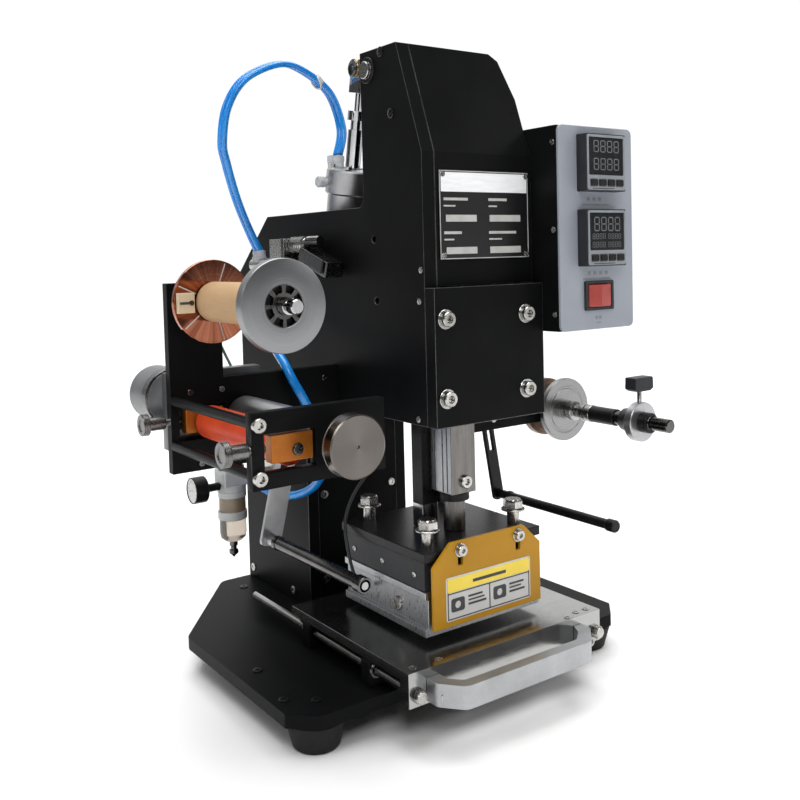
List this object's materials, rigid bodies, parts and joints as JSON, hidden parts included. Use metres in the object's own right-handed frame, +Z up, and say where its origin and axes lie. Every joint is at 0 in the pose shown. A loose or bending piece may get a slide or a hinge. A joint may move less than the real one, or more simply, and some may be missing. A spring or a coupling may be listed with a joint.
{
  "type": "hot foil stamper",
  "caption": "Bench-top pneumatic hot foil stamper with a C-frame, heated stamping head, sliding table, foil feed rollers, reels and a control box.",
  "frame": {"origin": "centre of the outline at floor level", "axes": "+X to the operator's right, +Y towards the back, +Z up; the operator stands on the -Y side"},
  "size_m": [0.496, 0.39, 0.5695],
  "materials": {
    "black_paint": "satin black powder coat",
    "rubber": "matte",
    "steel": "ground and turned",
    "aluminium": "satin",
    "black_plastic": "matte",
    "panel_grey": "satin grey",
    "amber_paint": "gloss amber",
    "gold_anodised": "gold anodised",
    "orange_silicone": "smooth silicone",
    "kraft_paper": "wound kraft",
    "copper": "copper-coloured plate",
    "blue_tube": "polyurethane tube",
    "red_plastic": "translucent red"
  },
  "bodies": {
    "frame": {"air_hose_return": "blue_tube", "air_hose_supply": "blue_tube", "air_hose_upper": "blue_tube", "air_valve": "aluminium", "base_plate": "black_paint", "column_channel": "black_paint", "control_panel": "panel_grey", "controller_lower": "black_plastic", "controller_upper": "black_plastic", "electric_box": "black_paint", "feed_back_plate": "black_paint", "feed_front_frame": "black_paint", "feed_motor": "aluminium", "filter_regulator": "aluminium", "foot_front_left": "rubber", "foot_front_right": "rubber", "foot_rear_left": "rubber", "foot_rear_right": "rubber", "head_cover": "black_paint", "head_front_plate": "black_paint", "ram_guide": "black_paint", "rewind_bracket": "black_paint", "side_plate_left": "black_paint", "side_plate_right": "black_paint", "table_cradle": "black_paint"},
    "lever": {"lever_arm": "steel"},
    "ram": {"ram_slide": "aluminium", "ram_back_bar": "black_paint", "mounting_plate": "black_paint", "insulation_block": "black_plastic", "heater_block": "aluminium"},
    "link": {"link": "steel"},
    "cylinder": {"air_cylinder": "aluminium"},
    "piston": {"piston_rod": "steel"},
    "guard": {"guard_plate": "amber_paint"},
    "table": {"sliding_table": "steel", "table_handle": "aluminium"},
    "rocker": {"power_rocker": "red_plastic"},
    "unwind_reel": {"unwind_spindle": "copper", "unwind_flange": "aluminium", "foil_core": "kraft_paper"},
    "steel_roller": {"steel_roller": "steel"},
    "nip": {"nip_block": "gold_anodised"},
    "silicone_roller": {"silicone_roller": "orange_silicone"},
    "tension_front": {"tension_screw_front": "steel"},
    "tension_rear": {"tension_screw_rear": "steel"},
    "rewind_reel": {"rewind_shaft": "steel"},
    "collar": {"rewind_collar": "aluminium"},
    "wing_screw_body": {"wing_screw": "black_plastic"},
    "left_guide": {"left_guide_arm": "aluminium"},
    "right_guide": {"right_guide_arm": "black_paint"},
    "regulator": {"regulator_knob": "black_plastic"},
    "key_upper_1": {"key_upper_1": "rubber"},
    "key_upper_2": {"key_upper_2": "rubber"},
    "key_upper_3": {"key_upper_3": "rubber"},
    "key_upper_4": {"key_upper_4": "rubber"},
    "key_lower_1": {"key_lower_1": "rubber"},
    "key_lower_2": {"key_lower_2": "rubber"},
    "key_lower_3": {"key_lower_3": "rubber"},
    "key_lower_4": {"key_lower_4": "rubber"}
  },
  "joints": [
    {"name": "lever_swing", "type": "hinge", "parent": "frame", "child": "lever", "pos_m": [-0.007, -0.062, 0.534], "axis": [-1, 0, 0], "range_deg": [0, 20.62]},
    {"name": "ram_lift", "type": "slide", "parent": "frame", "child": "ram", "axis": [0, 0, 1], "range_m": [0, 0.00972]},
    {"name": "link_swing", "type": "hinge", "parent": "ram", "child": "link", "pos_m": [-0.007, -0.092, 0.465], "axis": [-1, 0, 0], "range_deg": [-4.63, 0]},
    {"name": "cylinder_tilt", "type": "hinge", "parent": "frame", "child": "cylinder", "pos_m": [-0.007, 0.088, 0.3], "axis": [-1, 0, 0], "range_deg": [-1.03, 0]},
    {"name": "rod_stroke", "type": "slide", "parent": "cylinder", "child": "piston", "axis": [0, -0.1971, 0.9804], "range_m": [-0.03602, 0]},
    {"name": "guard_height", "type": "slide", "parent": "ram", "child": "guard", "axis": [0, 0, 1], "range_m": [0, 0.01]},
    {"name": "table_travel", "type": "slide", "parent": "frame", "child": "table", "axis": [0, -1, 0], "range_m": [0, 0.1]},
    {"name": "rocker_tilt", "type": "hinge", "parent": "frame", "child": "rocker", "pos_m": [0.0964, -0.166, 0.3395], "axis": [0, 0, 1], "range_deg": [0, 10]},
    {"name": "key_upper_1_press", "type": "slide", "parent": "frame", "child": "key_upper_1", "axis": [0, 1, 0], "range_m": [0, 0.0005], "stiffness_N_per_m": 600},
    {"name": "key_upper_2_press", "type": "slide", "parent": "frame", "child": "key_upper_2", "axis": [0, 1, 0], "range_m": [0, 0.0005], "stiffness_N_per_m": 600},
    {"name": "key_upper_3_press", "type": "slide", "parent": "frame", "child": "key_upper_3", "axis": [0, 1, 0], "range_m": [0, 0.0005], "stiffness_N_per_m": 600},
    {"name": "key_upper_4_press", "type": "slide", "parent": "frame", "child": "key_upper_4", "axis": [0, 1, 0], "range_m": [0, 0.0005], "stiffness_N_per_m": 600},
    {"name": "key_lower_1_press", "type": "slide", "parent": "frame", "child": "key_lower_1", "axis": [0, 1, 0], "range_m": [0, 0.0005], "stiffness_N_per_m": 600},
    {"name": "key_lower_2_press", "type": "slide", "parent": "frame", "child": "key_lower_2", "axis": [0, 1, 0], "range_m": [0, 0.0005], "stiffness_N_per_m": 600},
    {"name": "key_lower_3_press", "type": "slide", "parent": "frame", "child": "key_lower_3", "axis": [0, 1, 0], "range_m": [0, 0.0005], "stiffness_N_per_m": 600},
    {"name": "key_lower_4_press", "type": "slide", "parent": "frame", "child": "key_lower_4", "axis": [0, 1, 0], "range_m": [0, 0.0005], "stiffness_N_per_m": 600},
    {"name": "unwind_turn", "type": "hinge", "parent": "frame", "child": "unwind_reel", "pos_m": [-0.197, -0.066, 0.345], "axis": [0, 1, 0], "continuous": true},
    {"name": "feed_turn", "type": "hinge", "parent": "frame", "child": "steel_roller", "pos_m": [-0.1595, -0.066, 0.2455], "axis": [0, 1, 0], "continuous": true},
    {"name": "nip_slide", "type": "slide", "parent": "frame", "child": "nip", "axis": [1, 0, 0], "range_m": [-0.003, 0]},
    {"name": "nip_turn", "type": "hinge", "parent": "nip", "child": "silicone_roller", "pos_m": [-0.1905, -0.066, 0.244], "axis": [0, 1, 0], "continuous": true},
    {"name": "tension_front_turn", "type": "hinge", "parent": "frame", "child": "tension_front", "pos_m": [-0.237, -0.1455, 0.247], "axis": [1, 0, 0], "continuous": true},
    {"name": "tension_rear_turn", "type": "hinge", "parent": "frame", "child": "tension_rear", "pos_m": [-0.237, 0.0045, 0.247], "axis": [1, 0, 0], "continuous": true},
    {"name": "rewind_turn", "type": "hinge", "parent": "frame", "child": "rewind_reel", "pos_m": [0.2145, -0.066, 0.208], "axis": [0, 1, 0], "continuous": true},
    {"name": "collar_slide", "type": "slide", "parent": "rewind_reel", "child": "collar", "axis": [0, 1, 0], "range_m": [-0.012, 0.008]},
    {"name": "wing_turn", "type": "hinge", "parent": "collar", "child": "wing_screw_body", "pos_m": [0.2145, -0.111, 0.228], "axis": [0, 0, 1], "continuous": true},
    {"name": "left_guide_height", "type": "slide", "parent": "frame", "child": "left_guide", "axis": [0, 0, 1], "range_m": [-0.012, 0.004]},
    {"name": "right_guide_height", "type": "slide", "parent": "frame", "child": "right_guide", "axis": [0, 0, 1], "range_m": [-0.012, 0.004]},
    {"name": "regulator_turn", "type": "hinge", "parent": "frame", "child": "regulator", "pos_m": [-0.109, 0.138, 0.18], "axis": [0, 0, 1], "range_deg": [-150, 150]}
  ],
  "couplings": [
    {"joint": "ram_lift", "follows": "lever_swing", "m_per_rad": 0.026731},
    {"joint": "link_swing", "follows": "lever_swing", "ratio": -0.22333},
    {"joint": "cylinder_tilt", "follows": "lever_swing", "ratio": -0.049004},
    {"joint": "rod_stroke", "follows": "lever_swing", "m_per_rad": -0.099767},
    {"joint": "nip_turn", "follows": "feed_turn", "ratio": -1.2246}
  ]
}
